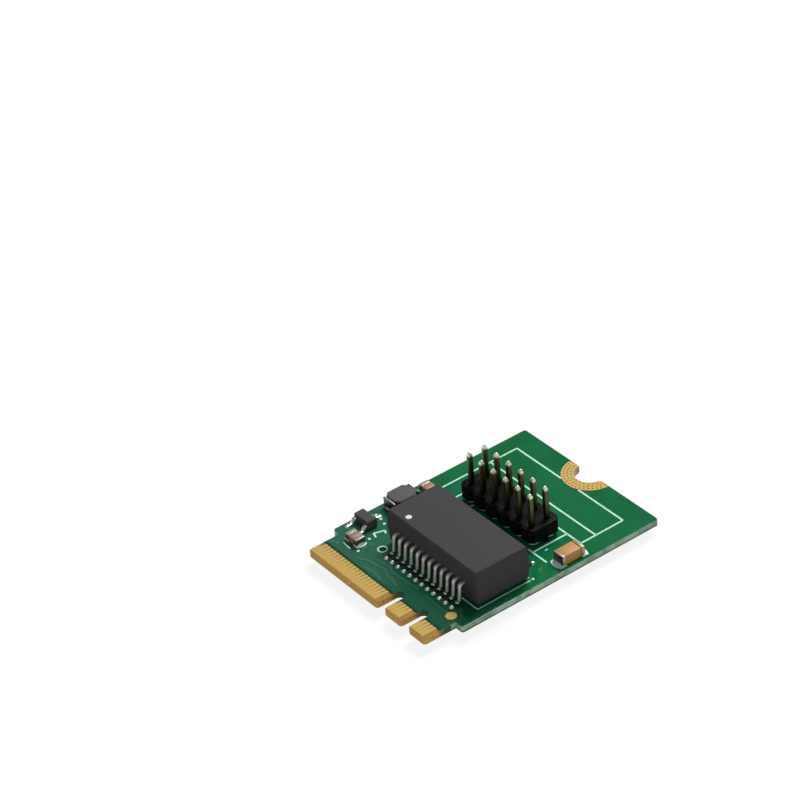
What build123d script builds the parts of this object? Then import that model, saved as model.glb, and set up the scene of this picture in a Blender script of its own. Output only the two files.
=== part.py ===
from build123d import *
import os

# A network adapter card for a keyed card slot, lying on its underside.
# X runs from the contact edge to the screw end, Y across the card, Z up from the plane it lies on.

# Board
card_length = 30.0
card_width = 22.0
board_thickness = 0.8
underside_height = 0.9
board_corner_radius = 0.3
tongue_length = 4.0
tongue_corner_radius = 0.25
contact_bevel = 0.08
key_slot_width = 1.2
key_slot_depth = 3.0
skin_height = 0.05
land_height = 0.05

# Edge contacts: positions are numbered from the right, odd ones on top and even ones below
contact_positions = 75
contact_pitch = 0.5
contact_width = 0.36
contact_length = 1.85
contact_setback = 0.25
tongue_side_margin = 0.55
first_key_positions = range(8, 16)
second_key_positions = range(24, 32)

# Screw notch and test pad
screw_notch_radius = 1.75
screw_pad_radius = 3.15
screw_pad_end_angle = 6.0
test_pad_radius = 0.6
test_pad_from_edge = 4.3
test_pad_from_side = 2.15

# Line transformer with gull-wing leads
transformer_from_edge = 10.45
transformer_offset = -2.3
transformer_width = 6.9
transformer_height = 4.0
transformer_standoff = 0.3
transformer_draft = 5.0
transformer_edge_radius = 0.2
transformer_leads_per_side = 12
transformer_lead_pitch = 1.0
transformer_end_margin = 2.0
transformer_lead_width = 0.4
transformer_lead_thickness = 0.22
transformer_lead_knee = 0.6
transformer_lead_lean = 0.25
transformer_foot_length = 0.8
transformer_lead_bend = 0.3

# Pin header
header_from_edge = 19.05
pin_pitch = 2.0
pin_rows = 2
pins_per_row = 6
pin_width = 0.5
pin_fit = 0.01
pin_tip_length = 0.4
pin_tip_taper = 18.0
pin_height = 6.1
header_body_height = 1.6
header_standoff = 0.5
header_cell_chamfer = 0.45
header_rib_clearance = 0.08
pin_solder_radius = 0.62
pin_solder_sides = 8
pin_solder_slope = 28.0
pin_solder_clearance = 0.1
pin_solder_depth = 0.45

# Two-ended chips on the top face
isolation_capacitor_from_edge = 19.05
isolation_capacitor_from_side = 0.5
isolation_capacitor_length = 3.0
isolation_capacitor_width = 1.6
isolation_capacitor_height = 1.2
isolation_capacitor_cap = 0.5
isolation_capacitor_solder_reach = 0.55
input_capacitor_from_edge = 4.55
input_capacitor_from_side = 2.3
output_capacitor_from_edge = 15.35
output_capacitor_from_side = 0.85
supply_capacitor_length = 2.0
supply_capacitor_width = 1.25
supply_capacitor_height = 0.85
supply_capacitor_cap = 0.6
chip_edge_break = 0.07
cap_wrap = 0.02
solder_reach = 0.4
short_solder_reach = 0.2
solder_climb = 0.45
tall_chip_solder_climb = 0.33

# Three-lead regulator
regulator_from_edge = 7.15
regulator_from_side = 0.4
regulator_length = 2.5
regulator_width = 1.3
regulator_height = 1.0
regulator_standoff = 0.1
regulator_draft = 7.0
regulator_lead_pitch = 1.9
regulator_lead_width = 0.42
regulator_lead_thickness = 0.12
regulator_lead_knee = 0.15
regulator_lead_lean = 0.3
regulator_foot_length = 0.35
regulator_lead_bend = 0.12

# Moulded power inductor
inductor_from_edge = 12.0
inductor_from_side = 0.3
inductor_length = 3.4
inductor_width = 2.5
inductor_height = 1.5
inductor_corner_chamfer = 0.55
inductor_edge_chamfer = 0.15
inductor_strip_width = 2.0
inductor_strip_height = 1.35
inductor_strip_thickness = 0.2

# Underside: network controller, its crystal and the small chips around it
controller_from_edge = 10.0
controller_offset = -1.0
controller_width = 6.0
controller_chamfer = 0.1
controller_pads_per_side = 12
controller_pad_pitch = 0.4
controller_pad_width = 0.22
controller_pad_length = 0.55
controller_pad_reach = 0.12
controller_heat_pad = 4.2
crystal_gap = 2.0
crystal_length = 3.2
crystal_width = 2.5
crystal_base_height = 0.4
crystal_lid_height = 0.3
crystal_lid_inset = 0.15
crystal_pad_length = 0.9
crystal_pad_width = 0.8
small_chip_length = 1.0
small_chip_width = 0.5
small_chip_cap = 0.25
small_capacitor_height = 0.5
small_resistor_height = 0.35
small_chip_pitch = 1.3
decoupling_row_count = 5
decoupling_row_gap = 1.6
resistor_row_count = 5
resistor_row_gap = 2.2
coupling_row_count = 4
coupling_row_gap = 1.7

# Places that follow from the sizes above
contact_edge = -card_length / 2
screw_end = card_length / 2
left_side = card_width / 2
right_side = -card_width / 2
board_bottom = underside_height
board_top = board_bottom + board_thickness
half_pitch = contact_pitch / 2
middle_position = (contact_positions + 1) / 2
tongue_width = contact_positions * half_pitch + 2 * tongue_side_margin
key_positions = [*first_key_positions, *second_key_positions]
transformer_length = (transformer_leads_per_side - 1) * transformer_lead_pitch + 2 * transformer_end_margin
transformer_centre = (contact_edge + transformer_from_edge, transformer_offset)
header_x = contact_edge + header_from_edge
header_length = pins_per_row * pin_pitch
header_width = pin_rows * pin_pitch
header_seat = board_top + header_standoff
pin_half_length = (board_top + pin_height) / 2
pin_middle = Plane(origin=(header_x, 0, pin_half_length))
header_rib_width = (pin_rows - 1) * pin_pitch - 2 * (pin_solder_radius + header_rib_clearance)
regulator_centre = (contact_edge + regulator_from_edge, left_side - regulator_from_side - regulator_length / 2)
inductor_centre = (contact_edge + inductor_from_edge, left_side - inductor_from_side - inductor_width / 2)
controller_x = contact_edge + controller_from_edge
controller_centre = (controller_x, controller_offset)
crystal_centre = (controller_x, controller_offset + controller_width / 2 + crystal_gap + crystal_width / 2)

os.makedirs("parts", exist_ok=True)


def save(piece, name):
    """Name a finished piece and write it to its own file."""
    piece.label = name
    export_step(piece, f"parts/{name}.step")


def contact_y(position):
    """Place across the card of a numbered contact position."""
    return (position - middle_position) * half_pitch


def top_seat(x, y, along=(1, 0, 0)):
    """Plane on the top face under a part's centre, its X along the part."""
    return Plane(origin=(x, y, board_top), x_dir=along, z_dir=(0, 0, 1))


def underside_seat(x, y, along=(1, 0, 0)):
    """Plane on the underside over a part's centre, its Z pointing down."""
    return Plane(origin=(x, y, board_bottom), x_dir=along, z_dir=(0, 0, -1))


def upright(seat):
    """Plane that stands on a seat: X along the part, Y away from the board."""
    return Plane(origin=seat.origin, x_dir=seat.x_dir, z_dir=-seat.y_dir)


# Circuit board: outline with a keyed tongue and a half-round screw notch.
# The pin holes are square, as plating and solder close them to the pins.
with BuildPart() as circuit_board:
    with BuildSketch(Plane.XY.offset(board_bottom)) as board_outline:
        with Locations((tongue_length / 2, 0)):
            Rectangle(card_length - tongue_length, card_width)
        fillet(board_outline.vertices(), board_corner_radius)
        with Locations((contact_edge + tongue_length / 2, 0)):
            Rectangle(tongue_length, tongue_width)
        fillet(board_outline.vertices().group_by(Axis.X)[0], tongue_corner_radius)
        for removed in (first_key_positions, second_key_positions):
            slot_y = (contact_y(removed[0]) + contact_y(removed[-1])) / 2
            with Locations((contact_edge, slot_y)):
                SlotOverall(2 * key_slot_depth, key_slot_width, mode=Mode.SUBTRACT)
        with Locations((screw_end, 0)):
            Circle(screw_notch_radius + skin_height, mode=Mode.SUBTRACT)
        with Locations((header_x, 0)):
            with GridLocations(pin_pitch, pin_pitch, pin_rows, pins_per_row):
                Rectangle(pin_width + 2 * pin_fit, pin_width + 2 * pin_fit, mode=Mode.SUBTRACT)
    extrude(amount=board_thickness)
    leading_edges = circuit_board.edges().filter_by(Axis.Y).group_by(Axis.X)[0]
    chamfer(leading_edges, contact_bevel)
save(circuit_board.part, "circuit_board")

# Gold contacts on both faces of the tongue, left out where the key slots are
contact_x = contact_edge + contact_setback + contact_length / 2
kept_positions = [n for n in range(1, contact_positions + 1) if n not in key_positions]
with BuildPart() as edge_contacts_top:
    with BuildSketch(Plane.XY.offset(board_top)):
        with Locations(*[(contact_x, contact_y(n)) for n in kept_positions if n % 2 == 1]):
            Rectangle(contact_length, contact_width)
    extrude(amount=skin_height)
save(edge_contacts_top.part, "edge_contacts_top")

with BuildPart() as edge_contacts_bottom:
    with BuildSketch(Plane.XY.offset(board_bottom)):
        with Locations(*[(contact_x, contact_y(n)) for n in kept_positions if n % 2 == 0]):
            Rectangle(contact_length, contact_width)
    extrude(amount=-skin_height)
save(edge_contacts_bottom.part, "edge_contacts_bottom")

# Plated screw notch: one skin that lines the half-round wall and spreads over both faces.
# It stops a little before the board's end on either side.
screw_section = Plane(origin=(screw_end, 0, board_bottom), x_dir=(0, 1, 0), z_dir=(1, 0, 0))
with BuildPart() as screw_pad:
    with BuildSketch(screw_section.rotated((0, 0, screw_pad_end_angle))):
        with BuildLine():
            Polyline(
                (screw_notch_radius, -skin_height),
                (screw_pad_radius, -skin_height),
                (screw_pad_radius, 0),
                (screw_notch_radius + skin_height, 0),
                (screw_notch_radius + skin_height, board_thickness),
                (screw_pad_radius, board_thickness),
                (screw_pad_radius, board_thickness + skin_height),
                (screw_notch_radius, board_thickness + skin_height),
                close=True,
            )
        make_face()
    revolve(axis=Axis((screw_end, 0, 0), (0, 0, 1)), revolution_arc=180 - 2 * screw_pad_end_angle)
save(screw_pad.part, "screw_pad")

with BuildPart() as test_pad:
    with BuildSketch(top_seat(contact_edge + test_pad_from_edge, right_side + test_pad_from_side)):
        Circle(test_pad_radius)
    extrude(amount=skin_height)
save(test_pad.part, "test_pad")


def drafted_body(centre, length, width, height, standoff, draft, edge_radius):
    """Moulded body that tapers both ways from the parting line at its middle height."""
    parting = Plane(origin=(*centre, board_top + standoff + height / 2))
    with BuildPart() as body:
        with BuildSketch(parting):
            Rectangle(width, length)
        extrude(amount=height / 2, taper=draft)
        mirror(about=parting)
        fillet(body.faces().sort_by(Axis.Z)[-1].edges(), edge_radius)
    return body.part


def gull_wing(exit_x, exit_height, knee, lean, foot, width, thickness, bend):
    """One lead: out of the body, down, and out again to a flat foot. X points outwards."""
    foot_height = land_height + thickness / 2
    knee_x = exit_x + knee
    heel_x = knee_x + lean
    with BuildPart() as lead:
        with BuildLine(Plane.XZ) as route:
            FilletPolyline(
                (exit_x, exit_height),
                (knee_x, exit_height),
                (heel_x, foot_height),
                (heel_x + foot, foot_height),
                radius=bend,
            )
        with BuildSketch(Plane(origin=(exit_x, 0, exit_height), x_dir=(0, 1, 0), z_dir=(1, 0, 0))):
            Rectangle(width, thickness)
        sweep(path=route.line)
    return lead.part


def toe_solder(heel_x, toe_x, width, height):
    """Solder under one foot, with a slope up to its toe. X points outwards."""
    with BuildPart() as joint:
        with BuildSketch(Plane.XZ):
            with BuildLine():
                Polyline(
                    (heel_x, land_height),
                    (heel_x, 0),
                    (toe_x + solder_reach, 0),
                    (toe_x, height),
                    (toe_x, land_height),
                    close=True,
                )
            make_face()
        extrude(amount=width / 2, both=True)
    return joint.part


# Line transformer: moulded body and a row of gull-wing leads along each long side
save(
    drafted_body(transformer_centre, transformer_length, transformer_width, transformer_height,
                 transformer_standoff, transformer_draft, transformer_edge_radius),
    "transformer_body",
)
transformer_lead = gull_wing(
    transformer_width / 2, transformer_standoff + transformer_height / 2, transformer_lead_knee,
    transformer_lead_lean, transformer_foot_length, transformer_lead_width, transformer_lead_thickness,
    transformer_lead_bend,
)
transformer_heel = transformer_width / 2 + transformer_lead_knee + transformer_lead_lean
transformer_joint = toe_solder(
    transformer_heel, transformer_heel + transformer_foot_length,
    transformer_lead_width, land_height + transformer_lead_thickness,
)
with BuildPart() as transformer_leads:
    with Locations((*transformer_centre, board_top)):
        with GridLocations(0, transformer_lead_pitch, 1, transformer_leads_per_side):
            add(transformer_lead)
            add(transformer_lead, rotation=(0, 0, 180))
save(transformer_leads.part, "transformer_leads")

with BuildPart() as transformer_solder:
    with Locations((*transformer_centre, board_top)):
        with GridLocations(0, transformer_lead_pitch, 1, transformer_leads_per_side):
            add(transformer_joint)
            add(transformer_joint, rotation=(0, 0, 180))
save(transformer_solder.part, "transformer_solder")

# Pin header: chamfered cells in one moulding on a rib, with square pins through it and the board
with BuildSketch() as header_cell:
    Rectangle(header_width, pin_pitch)
    chamfer(header_cell.vertices(), header_cell_chamfer)
with BuildPart() as header_body:
    with BuildSketch(Plane(origin=(header_x, 0, header_seat))):
        with GridLocations(0, pin_pitch, 1, pins_per_row):
            add(header_cell.sketch)
        with GridLocations(pin_pitch, pin_pitch, pin_rows, pins_per_row):
            Rectangle(pin_width + 2 * pin_fit, pin_width + 2 * pin_fit, mode=Mode.SUBTRACT)
    extrude(amount=header_body_height)
    with BuildSketch(top_seat(header_x, 0)):
        Rectangle(header_rib_width, header_length)
    extrude(amount=header_standoff)
save(header_body.part, "header_body")

with BuildPart() as header_pins:
    with BuildSketch(pin_middle):
        with GridLocations(pin_pitch, pin_pitch, pin_rows, pins_per_row):
            Rectangle(pin_width, pin_width)
    extrude(amount=pin_half_length - pin_tip_length)
    with BuildSketch(pin_middle.offset(pin_half_length - pin_tip_length)):
        with GridLocations(pin_pitch, pin_pitch, pin_rows, pins_per_row):
            Rectangle(pin_width, pin_width)
    extrude(amount=pin_tip_length, taper=pin_tip_taper)
    mirror(about=pin_middle)
save(header_pins.part, "header_pins")


def pin_solder(height):
    """Many-sided cones of solder round the pins where they leave the top face."""
    with BuildPart() as joints:
        with BuildSketch(top_seat(header_x, 0)):
            with GridLocations(pin_pitch, pin_pitch, pin_rows, pins_per_row):
                RegularPolygon(pin_solder_radius, pin_solder_sides)
        extrude(amount=height, taper=pin_solder_slope)
        with BuildSketch(top_seat(header_x, 0)):
            with GridLocations(pin_pitch, pin_pitch, pin_rows, pins_per_row):
                Rectangle(pin_width, pin_width)
        extrude(amount=height, mode=Mode.SUBTRACT)
    return joints.part


save(pin_solder(header_standoff - pin_solder_clearance), "header_solder_top")
with BuildPart() as header_solder_bottom:
    mirror(pin_solder(pin_solder_depth), about=Plane.XY.offset(board_bottom + board_thickness / 2))
save(header_solder_bottom.part, "header_solder_bottom")


def chip_bodies(seats, length, width, height, cap):
    """Ceramic middles of two-ended chips, one on each seat."""
    with BuildPart() as bodies:
        for seat in seats:
            with BuildSketch(seat.offset(land_height + cap_wrap)):
                Rectangle(length - 2 * cap, width - 2 * cap_wrap)
            extrude(amount=height - 2 * cap_wrap)
    return bodies.part


def chip_caps(seats, length, width, height, cap, edge_break=0):
    """Metal end caps of two-ended chips, their edges broken where a size is given."""
    with BuildPart() as caps:
        for seat in seats:
            with BuildSketch(seat.offset(land_height)):
                with GridLocations(length - cap, 0, 2, 1):
                    Rectangle(cap, width)
            extrude(amount=height)
        if edge_break:
            top_edges = caps.faces().filter_by(Axis.Z).group_by(Axis.Z)[-1].edges()
            chamfer(top_edges + caps.edges().filter_by(Axis.Z), edge_break)
    return caps.part


def chip_solder(seats, length, width, chip_height, climb, cap, reach):
    """Solder under both ends of each chip, with a slope that climbs part of each end."""
    inner = length / 2 - cap
    outer = length / 2
    height = chip_height * climb
    with BuildPart() as joints:
        for seat in seats:
            with BuildSketch(upright(seat)):
                with BuildLine():
                    Polyline(
                        (inner, land_height),
                        (inner, 0),
                        (outer + reach, 0),
                        (outer, height),
                        (outer, land_height),
                        close=True,
                    )
                make_face()
                mirror(about=Plane.YZ)
            extrude(amount=width / 2, both=True)
    return joints.part


# Large capacitor between the cable screen and the host's ground
isolation_seats = [top_seat(contact_edge + isolation_capacitor_from_edge,
                            right_side + isolation_capacitor_from_side + isolation_capacitor_width / 2)]
isolation_size = (isolation_capacitor_length, isolation_capacitor_width)
save(chip_bodies(isolation_seats, *isolation_size, isolation_capacitor_height, isolation_capacitor_cap),
     "isolation_capacitor_body")
save(chip_caps(isolation_seats, *isolation_size, isolation_capacitor_height, isolation_capacitor_cap,
               chip_edge_break), "isolation_capacitor_caps")
save(chip_solder(isolation_seats, *isolation_size, isolation_capacitor_height, tall_chip_solder_climb,
                 isolation_capacitor_cap, isolation_capacitor_solder_reach), "isolation_capacitor_solder")

# Supply capacitors before and after the regulator, lying across the card
supply_seats = [
    top_seat(contact_edge + input_capacitor_from_edge,
             left_side - input_capacitor_from_side - supply_capacitor_length / 2, (0, 1, 0)),
    top_seat(contact_edge + output_capacitor_from_edge,
             left_side - output_capacitor_from_side - supply_capacitor_length / 2, (0, 1, 0)),
]
supply_size = (supply_capacitor_length, supply_capacitor_width)
save(chip_bodies(supply_seats, *supply_size, supply_capacitor_height, supply_capacitor_cap),
     "supply_capacitor_bodies")
save(chip_caps(supply_seats, *supply_size, supply_capacitor_height, supply_capacitor_cap, chip_edge_break),
     "supply_capacitor_caps")
save(chip_solder(supply_seats, *supply_size, supply_capacitor_height, solder_climb, supply_capacitor_cap,
                 short_solder_reach), "supply_capacitor_solder")

# Regulator: small moulded body with two leads towards the contacts and one behind
regulator_lead = gull_wing(
    regulator_width / 2, regulator_standoff + regulator_height / 2, regulator_lead_knee, regulator_lead_lean,
    regulator_foot_length, regulator_lead_width, regulator_lead_thickness, regulator_lead_bend,
)
regulator_heel = regulator_width / 2 + regulator_lead_knee + regulator_lead_lean
regulator_joint = toe_solder(regulator_heel, regulator_heel + regulator_foot_length, regulator_lead_width,
                             land_height + regulator_lead_thickness)
regulator_front = [(0, -regulator_lead_pitch / 2), (0, regulator_lead_pitch / 2)]
save(
    drafted_body(regulator_centre, regulator_length, regulator_width, regulator_height,
                 regulator_standoff, regulator_draft, chip_edge_break),
    "regulator_body",
)
with BuildPart() as regulator_leads:
    with Locations((*regulator_centre, board_top)):
        add(regulator_lead)
        with Locations(*regulator_front):
            add(regulator_lead, rotation=(0, 0, 180))
save(regulator_leads.part, "regulator_leads")

with BuildPart() as regulator_solder:
    with Locations((*regulator_centre, board_top)):
        add(regulator_joint)
        with Locations(*regulator_front):
            add(regulator_joint, rotation=(0, 0, 180))
save(regulator_solder.part, "regulator_solder")

# Power inductor: eight-sided moulded block with a bent metal strip at each end
with BuildPart() as inductor_body:
    with BuildSketch(top_seat(*inductor_centre).offset(land_height + inductor_strip_thickness)) as inductor_outline:
        Rectangle(inductor_length - 2 * inductor_strip_thickness, inductor_width)
        chamfer(inductor_outline.vertices(), inductor_corner_chamfer)
    extrude(amount=inductor_height - land_height - inductor_strip_thickness)
    chamfer(inductor_body.faces().sort_by(Axis.Z)[-1].edges(), inductor_edge_chamfer)
save(inductor_body.part, "inductor_body")

inductor_end = inductor_length / 2
inductor_foot = inductor_end - inductor_corner_chamfer - inductor_strip_thickness
with BuildPart() as inductor_strips:
    with BuildSketch(upright(top_seat(*inductor_centre))):
        with BuildLine():
            Polyline(
                (inductor_foot, land_height),
                (inductor_end, land_height),
                (inductor_end, inductor_strip_height),
                (inductor_end - inductor_strip_thickness, inductor_strip_height),
                (inductor_end - inductor_strip_thickness, land_height + inductor_strip_thickness),
                (inductor_foot, land_height + inductor_strip_thickness),
                close=True,
            )
        make_face()
        mirror(about=Plane.YZ)
    extrude(amount=inductor_strip_width / 2, both=True)
save(inductor_strips.part, "inductor_strips")
save(chip_solder([top_seat(*inductor_centre)], inductor_length, inductor_strip_width, inductor_strip_height,
                 tall_chip_solder_climb, inductor_corner_chamfer, short_solder_reach), "inductor_solder")

# Network controller on the underside: flat square body on edge pads and a heat pad
controller_seat = underside_seat(*controller_centre)
with BuildPart() as controller_body:
    with BuildSketch(controller_seat.offset(land_height)):
        Rectangle(controller_width, controller_width)
    extrude(amount=underside_height - land_height)
    chamfer(controller_body.edges().filter_by(Axis.Z), controller_chamfer)
save(controller_body.part, "controller_body")

pad_middle = controller_width / 2 + controller_pad_reach - controller_pad_length / 2
with BuildPart() as controller_pads:
    with BuildSketch(controller_seat):
        with PolarLocations(pad_middle, 4):
            with GridLocations(0, controller_pad_pitch, 1, controller_pads_per_side):
                Rectangle(controller_pad_length, controller_pad_width)
        Rectangle(controller_heat_pad, controller_heat_pad)
    extrude(amount=land_height)
save(controller_pads.part, "controller_pads")

# Crystal: ceramic tray with a metal lid, on four corner pads
crystal_seat = underside_seat(*crystal_centre)
with BuildPart() as crystal_base:
    with BuildSketch(crystal_seat.offset(land_height)):
        Rectangle(crystal_length, crystal_width)
    extrude(amount=crystal_base_height)
save(crystal_base.part, "crystal_base")

with BuildPart() as crystal_lid:
    with BuildSketch(crystal_seat.offset(land_height + crystal_base_height)) as lid_outline:
        Rectangle(crystal_length - 2 * crystal_lid_inset, crystal_width - 2 * crystal_lid_inset)
        chamfer(lid_outline.vertices(), crystal_lid_inset)
    extrude(amount=crystal_lid_height)
save(crystal_lid.part, "crystal_lid")

with BuildPart() as crystal_pads:
    with BuildSketch(crystal_seat):
        with GridLocations(crystal_length - crystal_pad_length, crystal_width - crystal_pad_width, 2, 2):
            Rectangle(crystal_pad_length, crystal_pad_width)
    extrude(amount=land_height)
save(crystal_pads.part, "crystal_pads")


def seat_row(middle_x, middle_y, count, along_row, along_chip):
    """Seats of a row of small chips on the underside, a fixed pitch apart."""
    first = -(count - 1) / 2
    steps = [(first + i) * small_chip_pitch for i in range(count)]
    return [underside_seat(middle_x + along_row[0] * s, middle_y + along_row[1] * s, along_chip) for s in steps]


# Rows of small chips round the controller: capacitors on two sides, resistors on a third
across = (0, 1, 0)
lengthways = (1, 0, 0)
decoupling_x = controller_x + controller_width / 2 + decoupling_row_gap
coupling_x = controller_x - controller_width / 2 - coupling_row_gap
resistor_y = controller_offset - controller_width / 2 - resistor_row_gap
small_capacitor_seats = [
    *seat_row(decoupling_x, controller_offset, decoupling_row_count, across, lengthways),
    *seat_row(coupling_x, controller_offset, coupling_row_count, across, lengthways),
]
small_resistor_seats = seat_row(controller_x, resistor_y, resistor_row_count, lengthways, across)
small_size = (small_chip_length, small_chip_width)
save(chip_bodies(small_capacitor_seats, *small_size, small_capacitor_height, small_chip_cap),
     "small_capacitor_bodies")
save(chip_caps(small_capacitor_seats, *small_size, small_capacitor_height, small_chip_cap),
     "small_capacitor_caps")
save(chip_bodies(small_resistor_seats, *small_size, small_resistor_height, small_chip_cap),
     "small_resistor_bodies")
save(chip_caps(small_resistor_seats, *small_size, small_resistor_height, small_chip_cap),
     "small_resistor_caps")
save(chip_solder([*small_capacitor_seats, *small_resistor_seats], *small_size, small_resistor_height,
                 solder_climb, small_chip_cap, short_solder_reach), "small_chip_solder")
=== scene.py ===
import math

import bmesh
import bpy
from mathutils import Matrix, Vector


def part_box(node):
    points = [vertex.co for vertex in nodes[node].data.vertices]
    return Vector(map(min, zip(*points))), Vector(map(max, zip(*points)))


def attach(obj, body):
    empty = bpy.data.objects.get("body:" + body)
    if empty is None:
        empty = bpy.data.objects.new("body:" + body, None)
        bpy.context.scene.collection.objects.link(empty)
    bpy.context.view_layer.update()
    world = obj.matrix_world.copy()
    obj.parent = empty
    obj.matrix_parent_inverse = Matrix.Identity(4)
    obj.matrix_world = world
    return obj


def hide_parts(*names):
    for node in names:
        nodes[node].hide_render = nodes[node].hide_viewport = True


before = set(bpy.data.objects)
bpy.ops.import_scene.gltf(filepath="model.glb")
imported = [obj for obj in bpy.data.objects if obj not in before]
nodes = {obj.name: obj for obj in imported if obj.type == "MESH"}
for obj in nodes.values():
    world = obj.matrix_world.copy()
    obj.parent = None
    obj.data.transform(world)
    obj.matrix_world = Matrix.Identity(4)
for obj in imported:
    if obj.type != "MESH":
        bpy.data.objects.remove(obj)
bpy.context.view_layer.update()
scene = bpy.context.scene
scene.view_settings.view_transform = "Standard"

# The card lies with its contact edge towards -X and its component side up.
# Sizes and places are in millimetres here; a finished piece's mesh is in metres.
MM = 0.001
BOARD_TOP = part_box("circuit_board")[1].z / MM
BOARD_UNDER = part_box("circuit_board")[0].z / MM
INK_THICKNESS = 0.012
COPPER_THICKNESS = 0.03
CONTACT_INNER_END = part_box("edge_contacts_top")[1].x / MM
SCREW_CENTRE = (15.0, 0.0, BOARD_TOP)
RING_CENTRE = (-9.21, 4.67, BOARD_TOP)
# points this close are one point, and faces this near to level with each other, in degrees, are one face
SAME_PLACE, SAME_FACE = 0.001, 1
# edges that turn by more than this, in degrees, are rounded
SHARP_EDGE = 25


# Helpers

def srgb(code):
    """Linear colour of an sRGB hex value."""
    parts = [int(code[i:i + 2], 16) / 255 for i in (1, 3, 5)]
    return tuple(p / 12.92 if p <= 0.04045 else ((p + 0.055) / 1.055) ** 2.4 for p in parts) + (1.0,)


def add(tree, kind, inputs=None, **settings):
    """Add a node, make its settings, and fill or link its inputs.

    A node given as an input links by its first output in use.
    """
    node = tree.nodes.new(kind)
    for name, value in settings.items():
        setattr(node, name, value)
    for key, value in (inputs or {}).items():
        if isinstance(value, bpy.types.Node):
            value = next(output for output in value.outputs if output.enabled)
        if isinstance(value, bpy.types.NodeSocket):
            tree.links.new(value, node.inputs[key])
        elif isinstance(value, str) and value.startswith("#"):
            node.inputs[key].default_value = srgb(value)
        else:
            node.inputs[key].default_value = value
    return node


def middle(node):
    """Middle of a CAD node's box, in millimetres."""
    low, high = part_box(node)
    return (low + high) / 2 / MM


def cad_copy(node):
    """A copy of a CAD node's mesh in millimetres, with its loose triangles merged into flat faces."""
    mesh = nodes[node].data.copy()
    mesh.transform(Matrix.Scale(1 / MM, 4))
    if "custom_normal" in mesh.attributes:
        mesh.attributes.remove(mesh.attributes["custom_normal"])
    shape = bmesh.new()
    shape.from_mesh(mesh)
    bmesh.ops.remove_doubles(shape, verts=shape.verts, dist=SAME_PLACE)
    bmesh.ops.dissolve_limit(
        shape, angle_limit=math.radians(SAME_FACE), verts=shape.verts, edges=shape.edges)
    shape.to_mesh(mesh)
    shape.free()
    mesh.materials.clear()
    return mesh


def seat(piece, mesh, stands_for, smooth_angle):
    """Give a piece its finished mesh in metres, and set it on the card."""
    mesh.transform(Matrix.Scale(MM, 4))
    mesh.shade_smooth()
    mesh.set_sharp_from_angle(angle=math.radians(smooth_angle))
    piece.data = mesh
    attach(piece, "root")
    if stands_for:
        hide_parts(*stands_for)
    return piece


def ease(piece, radius, steps=2):
    """Round a piece's edges."""
    bevel = piece.modifiers.new("eased edges", "BEVEL")
    bevel.width = radius
    bevel.segments = steps
    bevel.limit_method = "ANGLE"
    bevel.angle_limit = math.radians(SHARP_EDGE)


def made_mesh(piece):
    """The plain mesh that a piece's modifiers make; the modifiers go."""
    graph = bpy.context.evaluated_depsgraph_get()
    mesh = bpy.data.meshes.new_from_object(piece.evaluated_get(graph))
    piece.modifiers.clear()
    return mesh


def grow(name, tree, start, finish, slot=None, stands_for=(), smooth_angle=40, eased=0, **sizes):
    """Run a Geometry Nodes tree on a starting mesh and keep the result as a plain mesh."""
    piece = bpy.data.objects.new(name, start)
    scene.collection.objects.link(piece)
    modifier = piece.modifiers.new(tree.name, "NODES")
    modifier.node_group = tree
    sockets = {s.name: s.identifier for s in tree.interface.items_tree if s.in_out == "INPUT"}
    for label, value in sizes.items():
        modifier[sockets[label]] = value
    modifier[sockets["finish"]] = finish
    if eased:
        ease(piece, eased)
    return seat(piece, made_mesh(piece), stands_for, smooth_angle)


def eased_copy(node, name, radius, finish, steps=2, smooth_angle=40):
    """A copy of a CAD node with its edges rounded, which stands for the node."""
    mesh = cad_copy(node)
    mesh.materials.append(finish)
    piece = bpy.data.objects.new(name, mesh)
    scene.collection.objects.link(piece)
    if radius:
        ease(piece, radius, steps)
        mesh = made_mesh(piece)
    return seat(piece, mesh, [node], smooth_angle)


def runs_mesh(name, runs, height):
    """Edges only: each run is a list of (x, y) points at one height, closed if it ends where it starts."""
    points, edges = [], []
    for run in runs:
        closed = run[0] == run[-1]
        first = len(points)
        points += [(x, y, height) for x, y in (run[:-1] if closed else run)]
        edges += [(i, i + 1) for i in range(first, len(points) - 1)]
        if closed:
            edges.append((len(points) - 1, first))
    mesh = bpy.data.meshes.new(name)
    mesh.from_pydata(points, edges, [])
    return mesh


def spots_mesh(name, spots):
    """Loose points, each with its place, its turn and its size along its own three directions."""
    mesh = bpy.data.meshes.new(name)
    mesh.from_pydata([place for place, turn, size in spots], [], [])
    for label, column in (("turn", 1), ("size", 2)):
        values = mesh.attributes.new(label, "FLOAT_VECTOR", "POINT")
        values.data.foreach_set("vector", [v for spot in spots for v in spot[column]])
    return mesh


def flat_spots(name, places, height, underside=False):
    """Spots of one size on the top face, or turned over on the underside."""
    turn = (math.pi, 0, 0) if underside else (0, 0, 0)
    return spots_mesh(name, [((x, y, height), turn, (1, 1, 1)) for x, y in places])


def ring(x, y, radius, count=24):
    """A closed round run."""
    turns = [2 * math.pi * i / count for i in range(count)]
    points = [(x + radius * math.cos(a), y + radius * math.sin(a)) for a in turns]
    return points + points[:1]


# Geometry Nodes trees

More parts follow.
